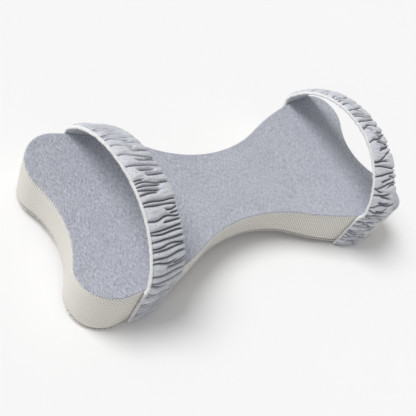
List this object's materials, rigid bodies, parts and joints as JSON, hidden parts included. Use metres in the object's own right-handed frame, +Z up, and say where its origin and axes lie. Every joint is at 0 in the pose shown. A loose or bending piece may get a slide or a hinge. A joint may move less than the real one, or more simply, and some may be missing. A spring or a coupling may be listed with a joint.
{
  "type": "support cushion",
  "caption": "Bone-shaped foam support cushion with a dished top, a zip-off knit and mesh cover, and arched elastic straps that hold it to a neck or limb.",
  "frame": {"origin": "middle of the floor under the cushion", "axes": "+X along the cushion, +Z up, the zip on the +Y side"},
  "size_m": [0.5012, 0.2339, 0.157],
  "materials": {
    "foam": "matt open-cell foam, slightly yellow",
    "liner": "thin white tricot",
    "top_knit": "light grey heathered jersey knit",
    "mesh": "off-white spacer mesh",
    "strap_knit": "light grey gathered knit",
    "elastic": "white woven elastic",
    "thread": "white polyester overlock thread",
    "zip_tape": "white woven zip tape",
    "zip_coil": "white nylon coil",
    "zip_metal": "silver painted zinc casting"
  },
  "bodies": {
    "root": {"bottom_panel": "mesh", "bottom_seam_thread": "thread", "foam_core": "foam", "left_strap_far_leg": "strap_knit", "left_strap_near_leg": "strap_knit", "left_strap_tacks": "thread", "liner_border": "liner", "liner_bottom": "liner", "liner_top": "liner", "right_strap_far_leg": "strap_knit", "right_strap_near_leg": "strap_knit", "right_strap_tacks": "thread", "side_border": "mesh", "top_panel": "top_knit", "top_seam_thread": "thread", "zip_band_lower": "mesh", "zip_band_upper": "mesh", "zip_bottom_stop": "zip_metal", "zip_coil_lower": "zip_coil", "zip_coil_upper": "zip_coil", "zip_tape_lower": "zip_tape", "zip_tape_upper": "zip_tape", "zip_top_stop_lower": "zip_metal", "zip_top_stop_upper": "zip_metal"},
    "zip_slider": {"zip_slider": "zip_metal"},
    "zip_pull": {"zip_pull": "zip_metal"},
    "left_strap": {"left_strap_backing": "strap_knit", "left_strap_edging": "thread", "left_strap_elastic": "elastic", "left_strap_face": "strap_knit"},
    "right_strap": {"right_strap_backing": "strap_knit", "right_strap_edging": "thread", "right_strap_elastic": "elastic", "right_strap_face": "strap_knit"}
  },
  "joints": [
    {"name": "left_strap_lean", "type": "hinge", "parent": "root", "child": "left_strap", "pos_m": [-0.165, 0, 0.076], "axis": [0, 1, 0], "range_deg": [-35, 35], "stiffness_Nm_per_rad": 0.05},
    {"name": "right_strap_lean", "type": "hinge", "parent": "root", "child": "right_strap", "pos_m": [0.1805, 0, 0.076], "axis": [0.061, 0.9981, 0], "range_deg": [-35, 35], "stiffness_Nm_per_rad": 0.05},
    {"name": "zip_travel", "type": "hinge", "parent": "root", "child": "zip_slider", "pos_m": [0, 0.2363, 0.037], "axis": [0, 0, -1], "range_deg": [0, 47]},
    {"name": "zip_pull_swing", "type": "hinge", "parent": "zip_slider", "child": "zip_pull", "pos_m": [0.07144, 0.07201, 0.037], "axis": [0, 0, -1], "range_deg": [0, 160]}
  ]
}
